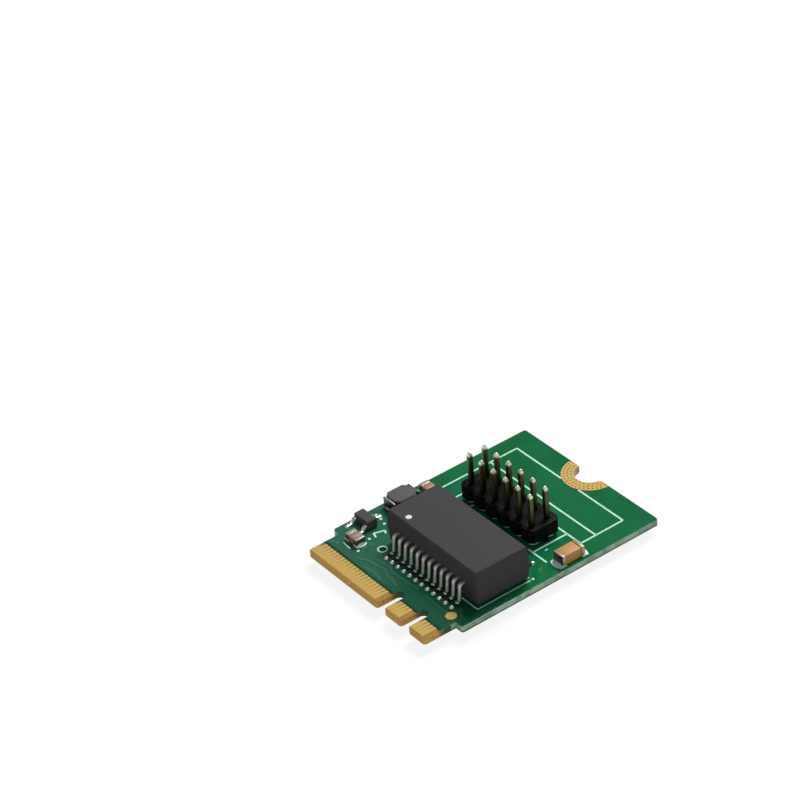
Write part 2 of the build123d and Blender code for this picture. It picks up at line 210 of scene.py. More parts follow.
def start_tree(name, **sizes):
    """A tree with a mesh input and one named input for each size."""
    tree = bpy.data.node_groups.new(name, "GeometryNodeTree")
    face = tree.interface
    face.new_socket("Geometry", in_out="INPUT", socket_type="NodeSocketGeometry")
    for label, value in sizes.items():
        kind = "NodeSocketInt" if isinstance(value, int) else "NodeSocketFloat"
        face.new_socket(label, in_out="INPUT", socket_type=kind).default_value = value
    face.new_socket("finish", in_out="INPUT", socket_type="NodeSocketMaterial")
    face.new_socket("Geometry", in_out="OUTPUT", socket_type="NodeSocketGeometry")
    return tree, add(tree, "NodeGroupInput").outputs


def end_tree(tree, size, shape):
    """Realize what the tree made, coat it and hand it out."""
    real = add(tree, "GeometryNodeRealizeInstances", {"Geometry": shape})
    coated = add(tree, "GeometryNodeSetMaterial", {"Geometry": real, "Material": size["finish"]})
    add(tree, "NodeGroupOutput", {"Geometry": coated})
    return tree


def put_on_spots(tree, size, shape):
    """Set a shape on the starting mesh's points, turned and sized as they say."""
    turn = add(tree, "GeometryNodeInputNamedAttribute", {"Name": "turn"}, data_type="FLOAT_VECTOR")
    stretch = add(tree, "GeometryNodeInputNamedAttribute", {"Name": "size"}, data_type="FLOAT_VECTOR")
    turned = add(tree, "FunctionNodeEulerToRotation", {0: turn})
    placed = add(tree, "GeometryNodeInstanceOnPoints", {
        "Points": size["Geometry"], "Instance": shape, "Rotation": turned, "Scale": stretch})
    return end_tree(tree, size, placed)


def flat_runs_tree():
    """Printed or etched lines: a flat strip swept along each run, with rounded corners."""
    tree, size = start_tree("flat_runs", width=0.2, thickness=0.012, corner_radius=0.1)
    route = add(tree, "GeometryNodeMeshToCurve", {"Mesh": size["Geometry"]})
    bent = add(tree, "GeometryNodeFilletCurve", {
        "Curve": route, "Count": 4, "Radius": size["corner_radius"], "Limit Radius": True},
        mode="POLY")
    level = add(tree, "GeometryNodeSetCurveNormal", {"Curve": bent}, mode="Z_UP")
    strip = add(tree, "GeometryNodeCurvePrimitiveQuadrilateral", {
        "Width": size["width"], "Height": size["thickness"]})
    swept = add(tree, "GeometryNodeCurveToMesh", {
        "Curve": level, "Profile Curve": strip, "Fill Caps": True})
    return end_tree(tree, size, swept)


def raise_slab(tree, outline, thickness):
    """Fill a flat outline and raise it to a closed slab."""
    under = add(tree, "GeometryNodeFillCurve", {"Curve": outline}, mode="NGONS")
    raised = add(tree, "GeometryNodeExtrudeMesh", {
        "Mesh": under, "Offset Scale": thickness, "Individual": False})
    turned = add(tree, "GeometryNodeFlipFaces", {"Mesh": under})
    both = add(tree, "GeometryNodeJoinGeometry", {0: raised})
    tree.links.new(turned.outputs[0], both.inputs[0])
    return add(tree, "GeometryNodeMergeByDistance", {"Geometry": both, "Distance": 0.0005})


def board_tree():
    """The board: its outline, rounded at each corner by the radius kept there, raised to its thickness."""
    tree, size = start_tree("board_slab", thickness=0.8, underside=0.9)
    route = add(tree, "GeometryNodeMeshToCurve", {"Mesh": size["Geometry"]})
    corner = add(tree, "GeometryNodeInputNamedAttribute", {"Name": "corner"}, data_type="FLOAT")
    rounded = add(tree, "GeometryNodeFilletCurve", {
        "Curve": route, "Count": 8, "Radius": corner, "Limit Radius": True}, mode="POLY")
    slab = raise_slab(tree, rounded, size["thickness"])
    height = add(tree, "ShaderNodeCombineXYZ", {"Z": size["underside"]})
    lifted = add(tree, "GeometryNodeTransform", {"Geometry": slab, "Translation": height})
    return end_tree(tree, size, lifted)


def contact_plate_tree():
    """Edge contacts: thin plates with rounded corners."""
    tree, size = start_tree("contact_plates", length=1.75, width=0.37, thickness=0.02, corner_radius=0.07)
    outline = add(tree, "GeometryNodeCurvePrimitiveQuadrilateral", {
        "Width": size["length"], "Height": size["width"]})
    rounded = add(tree, "GeometryNodeFilletCurve", {
        "Curve": outline, "Count": 3, "Radius": size["corner_radius"], "Limit Radius": True}, mode="POLY")
    return put_on_spots(tree, size, raise_slab(tree, rounded, size["thickness"]))


def gull_wing_tree():
    """Gull-wing leads: a rounded strip swept out of the body, down, and out along its foot."""
    tree, size = start_tree(
        "gull_wings", exit_reach=3.2, exit_height=4.0, knee_reach=4.05, heel_reach=4.3, toe_reach=5.1,
        foot_height=1.86, bend=0.42, strip_width=0.4, strip_thickness=0.22, edge_round=0.08)
    corners = [("exit_reach", "exit_height"), ("knee_reach", "exit_height"),
               ("heel_reach", "foot_height"), ("toe_reach", "foot_height")]
    corner = add(tree, "GeometryNodeIndexSwitch", data_type="VECTOR")
    # the switch starts with two items
    for _ in corners[2:]:
        corner.index_switch_items.new()
    tree.links.new(add(tree, "GeometryNodeInputIndex").outputs[0], corner.inputs[0])
    for number, (reach, height) in enumerate(corners):
        spot = add(tree, "ShaderNodeCombineXYZ", {"X": size[reach], "Z": size[height]})
        tree.links.new(spot.outputs[0], corner.inputs[number + 1])
    points = add(tree, "GeometryNodePoints", {"Count": len(corners), "Position": corner})
    route = add(tree, "GeometryNodePointsToCurves", {"Points": points})
    bent = add(tree, "GeometryNodeFilletCurve", {
        "Curve": route, "Count": 6, "Radius": size["bend"], "Limit Radius": True}, mode="POLY")
    level = add(tree, "GeometryNodeSetCurveNormal", {"Curve": bent}, mode="Z_UP")
    strip = add(tree, "GeometryNodeCurvePrimitiveQuadrilateral", {
        "Width": size["strip_width"], "Height": size["strip_thickness"]})
    rounded = add(tree, "GeometryNodeFilletCurve", {
        "Curve": strip, "Count": 3, "Radius": size["edge_round"], "Limit Radius": True}, mode="POLY")
    lead = add(tree, "GeometryNodeCurveToMesh", {
        "Curve": level, "Profile Curve": rounded, "Fill Caps": True})
    return put_on_spots(tree, size, lead)


def shape_round(tree, drum, spot, reach, height):
    """Draw a drum's rings in to their reach and set them at their height."""
    x = add(tree, "ShaderNodeMath", {0: spot["X"], 1: reach}, operation="MULTIPLY")
    y = add(tree, "ShaderNodeMath", {0: spot["Y"], 1: reach}, operation="MULTIPLY")
    shaped = add(tree, "ShaderNodeCombineXYZ", {"X": x, "Y": y, "Z": height})
    return add(tree, "GeometryNodeSetPosition", {"Geometry": drum, "Position": shaped})


def solder_bead_tree():
    """Solder drawn up at a lead's heel or toe: a smooth round bead, flat where it meets the board."""
    tree, size = start_tree("solder_beads", fullness=1.45)
    drum = add(tree, "GeometryNodeMeshCone", {
        "Vertices": 16, "Side Segments": 6, "Fill Segments": 1, "Radius Top": 1.0, "Radius Bottom": 1.0,
        "Depth": 1.0}, fill_type="NGON")
    spot = add(tree, "ShaderNodeSeparateXYZ", {0: add(tree, "GeometryNodeInputPosition")}).outputs
    angle = add(tree, "ShaderNodeMath", {0: spot["Z"], 1: size["fullness"]}, operation="MULTIPLY")
    reach = add(tree, "ShaderNodeMath", {0: angle}, operation="COSINE")
    rise = add(tree, "ShaderNodeMath", {0: angle}, operation="SINE")
    return put_on_spots(tree, size, shape_round(tree, drum, spot, reach, rise))


def solder_ramp_tree():
    """Solder at a chip's end: level under the end, then a hollow slope that rounds off at its sides."""
    tree, size = start_tree("solder_ramps", rim=0.1, side_fall=0.5, tuck=0.5, hollow=1.8, corner_pull=0.22)
    block = add(tree, "GeometryNodeMeshCube", {
        "Size": (1, 1, 1), "Vertices X": 11, "Vertices Y": 9, "Vertices Z": 2})
    spot = add(tree, "ShaderNodeSeparateXYZ", {0: add(tree, "GeometryNodeInputPosition")}).outputs
    forward = add(tree, "ShaderNodeMath", {0: spot["X"], 1: 0.5}, operation="ADD")
    left = add(tree, "ShaderNodeMapRange", {
        "Value": forward, "From Min": size["tuck"], "From Max": 1.0, "To Min": 1.0, "To Max": 0.0})
    slope = add(tree, "ShaderNodeMath", {0: left, 1: size["hollow"]}, operation="POWER")
    across = add(tree, "ShaderNodeMath", {0: spot["Y"], 1: spot["Y"]}, operation="MULTIPLY")
    # 0 along the middle and -1 along both sides
    fall = add(tree, "ShaderNodeMath", {0: across, 1: -4.0}, operation="MULTIPLY")
    round_off = add(tree, "ShaderNodeMath", {0: fall, 1: size["side_fall"], 2: 1.0}, operation="MULTIPLY_ADD")
    height = add(tree, "ShaderNodeMath", {0: slope, 1: round_off, 2: size["rim"]}, operation="MULTIPLY_ADD")
    upper = add(tree, "ShaderNodeMath", {0: spot["Z"], 1: 0.0}, operation="GREATER_THAN")
    lift = add(tree, "ShaderNodeMath", {0: height, 1: upper}, operation="MULTIPLY")
    # the outer corners draw in, as molten solder pulls itself round
    corner = add(tree, "ShaderNodeMath", {0: fall, 1: size["corner_pull"], 2: 1.0}, operation="MULTIPLY_ADD")
    pulled = add(tree, "ShaderNodeMath", {0: forward, 1: corner}, operation="MULTIPLY")
    shaped = add(tree, "ShaderNodeCombineXYZ", {"X": pulled, "Y": spot["Y"], "Z": lift})
    ramp = add(tree, "GeometryNodeSetPosition", {"Geometry": block, "Position": shaped})
    return put_on_spots(tree, size, ramp)


def solder_cone_tree():
    """Solder round a through pin: a hollow-sided cone."""
    tree, size = start_tree("solder_cones", foot_radius=0.62, neck_radius=0.3, height=0.4, hollow=2.4)
    cone = add(tree, "GeometryNodeMeshCone", {
        "Vertices": 20, "Side Segments": 5, "Fill Segments": 1, "Radius Top": 1.0, "Radius Bottom": 1.0,
        "Depth": 1.0}, fill_type="NGON")
    spot = add(tree, "ShaderNodeSeparateXYZ", {0: add(tree, "GeometryNodeInputPosition")}).outputs
    left = add(tree, "ShaderNodeMath", {0: 1.0, 1: spot["Z"]}, operation="SUBTRACT")
    slope = add(tree, "ShaderNodeMath", {0: left, 1: size["hollow"]}, operation="POWER")
    flare = add(tree, "ShaderNodeMath", {0: size["foot_radius"], 1: size["neck_radius"]},
                operation="SUBTRACT")
    reach = add(tree, "ShaderNodeMath", {0: slope, 1: flare, 2: size["neck_radius"]},
                operation="MULTIPLY_ADD")
    rise = add(tree, "ShaderNodeMath", {0: spot["Z"], 1: size["height"]}, operation="MULTIPLY")
    return put_on_spots(tree, size, shape_round(tree, cone, spot, reach, rise))


def dot_tree():
    """A round printed dot or a via closed by the mask: a low disc with a sloping rim."""
    tree, size = start_tree("round_dots", radius=0.2, thickness=0.012, rim=0.03)
    disc = add(tree, "GeometryNodeMeshCone", {
        "Vertices": 20, "Side Segments": 1, "Fill Segments": 1, "Radius Top": 1.0, "Radius Bottom": 1.0,
        "Depth": 1.0}, fill_type="NGON")
    spot = add(tree, "ShaderNodeSeparateXYZ", {0: add(tree, "GeometryNodeInputPosition")}).outputs
    inner = add(tree, "ShaderNodeMath", {0: spot["Z"], 1: size["rim"]}, operation="MULTIPLY")
    reach = add(tree, "ShaderNodeMath", {0: size["radius"], 1: inner}, operation="SUBTRACT")
    rise = add(tree, "ShaderNodeMath", {0: spot["Z"], 1: size["thickness"]}, operation="MULTIPLY")
    return put_on_spots(tree, size, shape_round(tree, disc, spot, reach, rise))


def stitched_pad_tree():
    """The screw pad with small open vias drilled through its skin in staggered rows."""
    tree, size = start_tree(
        "stitched_pad", first_radius=2.08, row_step=0.4, pitch=0.45, hole_radius=0.11, arc_start=1.75,
        arc_length=2.78, middle_x=15.0, drill_length=4.0)
    drill = add(tree, "GeometryNodeMeshCylinder", {
        "Vertices": 10, "Radius": size["hole_radius"], "Depth": size["drill_length"]})
    joined = add(tree, "GeometryNodeJoinGeometry")
    for row in range(3):
        out = add(tree, "ShaderNodeMath", {
            0: size["row_step"], 1: float(row), 2: size["first_radius"]}, operation="MULTIPLY_ADD")
        arc = add(tree, "ShaderNodeMath", {0: out, 1: size["arc_length"]}, operation="MULTIPLY")
        holes = add(tree, "ShaderNodeMath", {0: arc, 1: size["pitch"]}, operation="DIVIDE")
        count = add(tree, "ShaderNodeMath", {0: holes}, operation="FLOOR")
        points = add(tree, "GeometryNodePoints", {"Count": count})
        number = add(tree, "GeometryNodeInputIndex")
        # odd rows start farther round, so that the rows are staggered
        start = 0.65 if row % 2 else 0.35
        shifted = add(tree, "ShaderNodeMath", {0: number, 1: start}, operation="ADD")
        share = add(tree, "ShaderNodeMath", {0: shifted, 1: count}, operation="DIVIDE")
        angle = add(tree, "ShaderNodeMath", {
            0: share, 1: size["arc_length"], 2: size["arc_start"]}, operation="MULTIPLY_ADD")
        cosine = add(tree, "ShaderNodeMath", {0: angle}, operation="COSINE")
        sine = add(tree, "ShaderNodeMath", {0: angle}, operation="SINE")
        x = add(tree, "ShaderNodeMath", {0: cosine, 1: out, 2: size["middle_x"]}, operation="MULTIPLY_ADD")
        y = add(tree, "ShaderNodeMath", {0: sine, 1: out}, operation="MULTIPLY")
        place = add(tree, "ShaderNodeCombineXYZ", {"X": x, "Y": y})
        spread = add(tree, "GeometryNodeSetPosition", {"Geometry": points, "Position": place})
        placed = add(tree, "GeometryNodeInstanceOnPoints", {"Points": spread, "Instance": drill})
        tree.links.new(placed.outputs[0], joined.inputs[0])
    drills = add(tree, "GeometryNodeRealizeInstances", {"Geometry": joined})
    drilled = add(tree, "GeometryNodeMeshBoolean", {
        "Mesh 1": size["Geometry"], "Mesh 2": drills}, operation="DIFFERENCE", solver="EXACT")
    return end_tree(tree, size, drilled)


# Finishes

def start_finish(name):
    """An empty material, and its Object coordinates in millimetres."""
    material = bpy.data.materials.new(name)
    material.use_nodes = True
    tree = material.node_tree
    tree.nodes.clear()
    place = add(tree, "ShaderNodeTexCoord").outputs["Object"]
    mm = add(tree, "ShaderNodeMapping", {"Vector": place, "Scale": (1 / MM, 1 / MM, 1 / MM)})
    return material, tree, mm


def end_finish(material, looks):
    """Close a material with the one shader that carries its looks."""
    shader = add(material.node_tree, "ShaderNodeBsdfPrincipled", looks)
    add(material.node_tree, "ShaderNodeOutputMaterial", {"Surface": shader})
    return material


def board_finish():
    # Green solder mask cured glossy over copper and woven glass laminate: a deep clear green that is greyer
    # over the front half of the card and lighter there towards +Y, with gold-stained bare laminate round the
    # contacts and pale resin on the routed edges.
    material, tree, mm = start_finish("Green solder mask on glass laminate")
    place = add(tree, "ShaderNodeSeparateXYZ", {0: mm}).outputs
    facing = add(tree, "ShaderNodeNewGeometry").outputs["Normal"]
    facing_up = add(tree, "ShaderNodeSeparateXYZ", {0: facing}).outputs["Z"]
    level = add(tree, "ShaderNodeMath", {0: facing_up}, operation="ABSOLUTE")
    grain = add(tree, "ShaderNodeTexNoise", {"Vector": mm, "Scale": 1 / 0.25, "Detail": 3.0})
    planes = add(tree, "ShaderNodeTexNoise", {"Vector": mm, "Scale": 1 / 3.5, "Detail": 1.0})
    resin = add(tree, "ShaderNodeTexNoise", {"Vector": mm, "Scale": 1 / 0.9, "Detail": 3.0})
    from_screw = add(tree, "ShaderNodeVectorMath", {0: mm, 1: SCREW_CENTRE}, operation="DISTANCE")
    from_ring = add(tree, "ShaderNodeVectorMath", {0: mm, 1: RING_CENTRE}, operation="DISTANCE")
    # where each tone starts to show and where it is full
    share = {}
    for tone, source, start, full in (
        ("level faces", level, 0.75, 0.85),
        ("copper planes", planes, 0.4, 0.6),
        # the front mask grows lighter towards +Y
        ("front mask across", place["Y"], -3.0, 3.0),
        ("rear half", place["X"], -9.0, 0.0),
        # a band of mask just behind the contacts is painted dark green as the shade along the mask's edge
        ("painted mask edge shade", place["X"], CONTACT_INNER_END + 0.35, CONTACT_INNER_END + 0.05),
        ("bare tongue", place["X"], CONTACT_INNER_END - 0.1, CONTACT_INNER_END - 0.2),
        ("inner ends", place["X"], -13.9, -13.2),
        ("ring hole", from_ring, 0.5, 0.36),
        ("screw pad", from_screw, 3.12, 3.08),
        ("fibres", grain, 0.35, 0.65),
        ("resin clouds", resin, 0.35, 0.65),
        ("slot walls", place["X"], -13.3, -12.7),
        ("slot ends", place["X"], -12.7, -12.2),
        ("side walls", place["X"], -11.65, -11.55),
        # the lowest band of the board's side walls is painted dark green as shade
        ("painted lower edge shade", place["Z"], BOARD_UNDER + 0.28, BOARD_UNDER + 0.1),
    ):
        share[tone] = add(tree, "ShaderNodeMapRange", {"Value": source, "From Min": start, "From Max": full},
                          interpolation_type="SMOOTHSTEP")
    # the tongue is bare of gold along its front and to the right of each block of contacts
    share["margins"] = add(tree, "ShaderNodeMath", {0: place["X"], 1: -14.76}, operation="LESS_THAN")
    for across, half in ((-1.73, 0.295), (-5.73, 0.295), (-9.68, 0.245)):
        beside = add(tree, "ShaderNodeMath", {0: place["Y"], 1: across, 2: half}, operation="COMPARE")
        share["margins"] = add(tree, "ShaderNodeMath", {0: share["margins"], 1: beside}, operation="MAXIMUM")
    # each tone is laid over the ones before it
    tones = {}
    for tone, by, below, above in (
        ("rear mask", "copper planes", "#0a673a", "#106d41"),
        ("front mask", "front mask across", "#13533b", "#2a654e"),
        ("mask", "rear half", "front mask", "rear mask"),
        # the dark band behind the contacts is painted shade
        ("mask with painted edge shade", "painted mask edge shade", "mask", "#123c29"),
        ("ringed mask", "ring hole", "mask with painted edge shade", "#0f3324"),
        ("stained laminate", "inner ends", "#cba962", "#867a45"),
        ("margin", "slot walls", "#a8833f", "#5d6f3c"),
        ("bare laminate", "margins", "stained laminate", "margin"),
        ("tongue", "bare tongue", "ringed mask", "bare laminate"),
        ("face", "screw pad", "tongue", "#c4984e"),
        ("tongue wall", "fibres", "#cf9f4a", "#ecc068"),
        ("slot wall", "slot ends", "#77702f", "#1d5138"),
        ("keyed wall", "slot walls", "tongue wall", "slot wall"),
        ("side wall", "resin clouds", "#7aa683", "#b4d2b8"),
        # the side wall darkens at its foot: painted shade
        ("side wall with painted shade", "painted lower edge shade", "side wall", "#2d4a38"),
        ("wall", "side walls", "keyed wall", "side wall with painted shade"),
        ("whole", "level faces", "wall", "face"),
    ):
        tones[tone] = add(tree, "ShaderNodeMix", {
            0: share[by], 6: tones.get(below, below), 7: tones.get(above, above)}, data_type="RGBA")
    rough = add(tree, "ShaderNodeMapRange", {"Value": share["level faces"], "To Min": 0.7, "To Max": 0.1})
    # glass yarns cross every half millimetre and press through the mask faintly
    yarns = [add(tree, "ShaderNodeTexWave", {"Vector": mm, "Scale": 0.314 / 0.5, "Distortion": 0.6},
                 bands_direction=way).outputs["Fac"] for way in "XY"]
    weave = add(tree, "ShaderNodeMath", {0: yarns[0], 1: yarns[1]}, operation="MULTIPLY")
    relief = add(tree, "ShaderNodeBump", {"Strength": 0.2, "Distance": 0.01 * MM, "Height": weave})
    return end_finish(material, {
        "Base Color": tones["whole"], "Roughness": rough, "IOR": 1.5, "Normal": relief})


def masked_copper_finish():
    # The same mask where it runs over etched copper: a lighter, greyer green with a soft raised sheen.
    material, tree, mm = start_finish("Green solder mask over copper")
    across = add(tree, "ShaderNodeSeparateXYZ", {0: mm}).outputs["Y"]
    side = add(tree, "ShaderNodeMapRange", {"Value": across, "From Min": -3.0, "From Max": 3.0})
    cloud = add(tree, "ShaderNodeTexNoise", {"Vector": mm, "Scale": 1 / 0.8, "Detail": 2.0})
    right_side = add(tree, "ShaderNodeMix", {0: cloud, 6: "#1c5a43", 7: "#26664f"}, data_type="RGBA")
    left_side = add(tree, "ShaderNodeMix", {0: cloud, 6: "#336d57", 7: "#3e7762"}, data_type="RGBA")
    colour = add(tree, "ShaderNodeMix", {0: side, 6: right_side, 7: left_side}, data_type="RGBA")
    return end_finish(material, {"Base Color": colour, "Roughness": 0.12, "IOR": 1.5})


def metal_finish(name, dark, light, roughness, spread, grain_size, bump=0, stretch=(1, 1, 1), tints=(),
                 metallic=1.0):
    # Plated and soldered metal: one colour with a cloudy change of tone and gloss, and a fine uneven skin.
    # Where dust, flux and wear take the mirror off the metal, its metallic share is lower.
    # A tint is another colour, what it goes by ("place" in millimetres or "facing"), along which axis, and
    # where it starts and is full.
    material, tree, mm = start_finish(name)
    drawn = add(tree, "ShaderNodeMapping", {"Vector": mm, "Scale": stretch})
    grain = add(tree, "ShaderNodeTexNoise", {"Vector": drawn, "Scale": 1 / grain_size, "Detail": 3.0})
    colour = add(tree, "ShaderNodeMix", {0: grain, 6: dark, 7: light}, data_type="RGBA")
    sources = {"place": mm, "facing": add(tree, "ShaderNodeNewGeometry").outputs["Normal"]}
    for other, source, axis, start, full in tints:
        part = add(tree, "ShaderNodeSeparateXYZ", {0: sources[source]}).outputs[axis]
        share = add(tree, "ShaderNodeMapRange", {"Value": part, "From Min": start, "From Max": full},
                    interpolation_type="SMOOTHSTEP")
        colour = add(tree, "ShaderNodeMix", {0: share, 6: colour, 7: other}, data_type="RGBA")
    gloss = add(tree, "ShaderNodeMapRange", {
        "Value": grain, "To Min": roughness - spread, "To Max": roughness + spread})
    looks = {"Base Color": colour, "Metallic": metallic, "Roughness": gloss}
    if bump:
        looks["Normal"] = add(tree, "ShaderNodeBump", {
            "Strength": 0.6, "Distance": bump * MM, "Height": grain})
    return end_finish(material, looks)


def moulding_finish(name, dark, light, roughness, grain_size, bump, specks=0.0, sheen=0.25, rear=None):
    # Moulded epoxy, plastic and ceramic: a dull skin with the fine spark-eroded grain of the mould and, in
    # filled compounds, pale filler specks. Both are drawn coarser than the real ones, which wouldn't show.
    # A rear colour is taken by the parts of the piece in the rear half of the card.
    material, tree, mm = start_finish(name)
    grain = add(tree, "ShaderNodeTexNoise", {
        "Vector": mm, "Scale": 1 / grain_size, "Detail": 4.0, "Roughness": 0.65})
    colour = add(tree, "ShaderNodeMix", {0: grain, 6: dark, 7: light}, data_type="RGBA")
    if rear:
        along = add(tree, "ShaderNodeSeparateXYZ", {0: mm}).outputs["X"]
        behind = add(tree, "ShaderNodeMath", {0: along, 1: -2.0}, operation="GREATER_THAN")
        other = add(tree, "ShaderNodeMix", {0: grain, 6: rear[0], 7: rear[1]}, data_type="RGBA")
        colour = add(tree, "ShaderNodeMix", {0: behind, 6: colour, 7: other}, data_type="RGBA")
    if specks:
        filler = add(tree, "ShaderNodeTexVoronoi", {"Vector": mm, "Scale": 1 / (3 * grain_size)})
        speck = add(tree, "ShaderNodeMapRange", {
            "Value": filler.outputs["Distance"], "From Min": 0.08, "From Max": 0.2,
            "To Min": specks, "To Max": 0.0})
        colour = add(tree, "ShaderNodeMix", {0: speck, 6: colour, 7: "#8a8a8c"}, data_type="RGBA")
    gloss = add(tree, "ShaderNodeMapRange", {
        "Value": grain, "To Min": roughness - 0.1, "To Max": roughness + 0.1})
    skin = add(tree, "ShaderNodeBump", {"Strength": 0.5, "Distance": bump * MM, "Height": grain})
    return end_finish(material, {
        "Base Color": colour, "Roughness": gloss, "IOR": 1.5, "Specular IOR Level": sheen, "Normal": skin})


def ink_finish(name, dark, light):
    # Screen-printed epoxy ink: a chalky pale coat, worn a little uneven by the squeegee.
    material, tree, mm = start_finish(name)
    grain = add(tree, "ShaderNodeTexNoise", {"Vector": mm, "Scale": 1 / 0.3, "Detail": 2.0})
    colour = add(tree, "ShaderNodeMix", {0: grain, 6: dark, 7: light}, data_type="RGBA")
    return end_finish(material, {"Base Color": colour, "Roughness": 0.55, "IOR": 1.5})


mask_green = board_finish()
mask_copper = masked_copper_finish()
# Thin white ink lets the mask through: chalky, with a cast of green.
legend_ink = ink_finish("White legend ink over green mask", "#a8e2c4", "#c4f3dc")
# Ink on dark compound: chalky cream.
marking_ink = ink_finish("Cream marking ink", "#dcdcc6", "#ecebd8")
# Hard gold over nickel, rubbed by handling: a smooth, soft yellow with no clear mirror in it.
contact_gold = metal_finish(
    "Hard gold plating", "#e2bc68", "#e8c26e", roughness=0.2, spread=0.005, grain_size=1.5, metallic=0.3)
# Soft gold on the screw pad: the same yellow, with the walls of the notch and of the vias painted browner as
# their shade.
pad_gold = metal_finish(
    "Soft gold plating", "#e4be70", "#eeca7e", roughness=0.2, spread=0.005, grain_size=0.8, metallic=0.3,
    tints=(("#a27d3c", "facing", "Z", 0.7, 0.2), ("#cfae6c", "facing", "Z", -0.2, -0.7)))
# A flash of gold on drawn pins: dark bronze along their length, with a pale painted highlight on their tips.
pin_gold = metal_finish(
    "Thin gold flash on pins", "#4a4730", "#605a3e", roughness=0.3, spread=0.06, grain_size=0.5, bump=0.002,
    stretch=(1, 1, 0.2), tints=(("#d6d8c0", "place", "Z", 7.2, 7.5),))
# Matt tin on bent leads: a soft grey, nearly black at the foot, partly for the flux that gathers there and
# partly as painted shade.
tin_dull = metal_finish(
    "Dull tin plating", "#c2c2be", "#dadad6", roughness=0.48, spread=0.05, grain_size=0.3, bump=0.002,
    tints=(("#34372f", "place", "Z", 2.2, 2.02),))
# Bright tin on short leads: pale, with soft glints.
tin_bright = metal_finish(
    "Bright tin plating", "#d2d2d0", "#e6e6e4", roughness=0.36, spread=0.05, grain_size=0.5, bump=0.001)
# Bright tin on folded strip: a pale fold, walls painted nearly black as shade, and a rear end painted dimmer.
strip_tin = metal_finish(
    "Bright tin on folded strip", "#cfcfcc", "#e2e2df", roughness=0.36, spread=0.05, grain_size=0.5,
    bump=0.001, tints=(("#1f1f1c", "facing", "Z", 0.5, 0.1), ("#77756b", "place", "X", -5.0, -4.0)))
# Solder that flowed out and set: near white, with a satin skin.
solder_bright = metal_finish(
    "Reflowed tin solder", "#dcdddc", "#f2f2f1", roughness=0.5, spread=0.04, grain_size=0.5, bump=0.001,
    metallic=0.35)
# Solder drawn up to a bead by a lead's foot: bright, with a round glint on each.
solder_bead = metal_finish(
    "Reflowed solder drawn to beads", "#e8e8e6", "#f8f8f6", roughness=0.36, spread=0.04, grain_size=0.5,
    bump=0.001)
# Older, grainy solder: a dull mid grey.
solder_dull = metal_finish(
    "Aged tin solder", "#86867f", "#9d9d96", roughness=0.4, spread=0.05, grain_size=0.3, bump=0.002)
# Tin plated in a tumbling barrel: pale grey tops, and sides painted browner and darker as shade.
cap_tin = metal_finish(
    "Barrel-plated matt tin", "#a09b90", "#b6b1a6", roughness=0.26, spread=0.04, grain_size=0.25, bump=0.002,
    tints=(("#5a564a", "facing", "Z", 0.5, 0.0),), metallic=0.4)
# The same tin under a film of flux: cream, with the end that faces the contacts painted nearly black as its
# shade.
cap_stained_and_shaded = metal_finish(
    "Matt tin with flux stain and painted shade", "#a3977c", "#b8ad93", roughness=0.26, spread=0.04, grain_size=0.25,
    bump=0.002, tints=(("#3c3a2e", "facing", "X", -0.35, -0.8),), metallic=0.3)
# A rolled and plated lid: pale satin metal with streaks along its length.
lid_metal = metal_finish(
    "Plated lid", "#bdbdb8", "#d2d2ce", roughness=0.28, spread=0.05, grain_size=0.8, bump=0.002,
    stretch=(0.2, 1, 1))
# Filled epoxy: charcoal and quite dull, with a dust of pale filler.
transformer_black = moulding_finish(
    "Charcoal moulding compound", "#38363a", "#444246", roughness=0.75, grain_size=0.09, bump=0.012,
    specks=0.2)
# Glass-filled plastic: deep black with hardly any sheen.
header_black = moulding_finish(
    "Black glass-filled plastic", "#08080a", "#101011", roughness=0.5, grain_size=0.12, bump=0.006,
    sheen=0.06)
# Filled epoxy round a small chip: dark grey and dull.
regulator_grey = moulding_finish(
    "Dark grey moulding compound", "#3d3d3f", "#48484a", roughness=0.65, grain_size=0.08, bump=0.008,
    specks=0.15)
# Iron powder pressed to shape and sprayed: mid grey with a gritty skin.
inductor_grey = moulding_finish(
    "Pressed iron powder, grey coat", "#4e4e4f", "#60605f", roughness=0.65, grain_size=0.14, bump=0.014,
    specks=0.25)
# Filled epoxy of a fine grain: black with a satin sheen.
controller_black = moulding_finish(
    "Black moulding compound", "#19191a", "#232324", roughness=0.5, grain_size=0.07, bump=0.006, specks=0.15)
# Layered ceramic, cut and fired: an even tan with a faint gloss.
tan_ceramic = moulding_finish(
    "Tan capacitor ceramic", "#b9843f", "#cb9852", roughness=0.5, grain_size=0.12, bump=0.004, sheen=0.4)
# Layered ceramic of another mix: a dusky brown at the front of the card, and nearer tan behind.
brown_ceramic = moulding_finish(
    "Brown capacitor ceramic", "#8b6a5c", "#a07e6e", roughness=0.4, grain_size=0.12, bump=0.004, sheen=0.5,
    rear=("#a06c38", "#b8854c"))
# Alumina: a matt cream.
white_ceramic = moulding_finish(
    "Pale fired ceramic", "#c2bba8", "#d6d0bf", roughness=0.5, grain_size=0.12, bump=0.006, sheen=0.5)
# Glass fired over a resistor's film: black and glossy.
resistor_glaze = moulding_finish(
    "Black glass glaze", "#151516", "#222224", roughness=0.25, grain_size=0.2, bump=0.003, sheen=0.5)


# Board and plated skins

FRONT, REAR, SIDE = -15.0, 15.0, 11.0
SHOULDER, TONGUE_SIDE = -11.0, 9.925
SLOT_END, KEY_SLOTS = -12.0, ((-2.025, -3.225), (-6.025, -7.225))
CARD_ROUND, TONGUE_ROUND, INNER_ROUND, MOUTH_ROUND, SLOT_ROUND = 0.3, 0.4, 0.1, 0.35, 0.6
NOTCH_RADIUS, NOTCH_STEPS = 1.8, 24
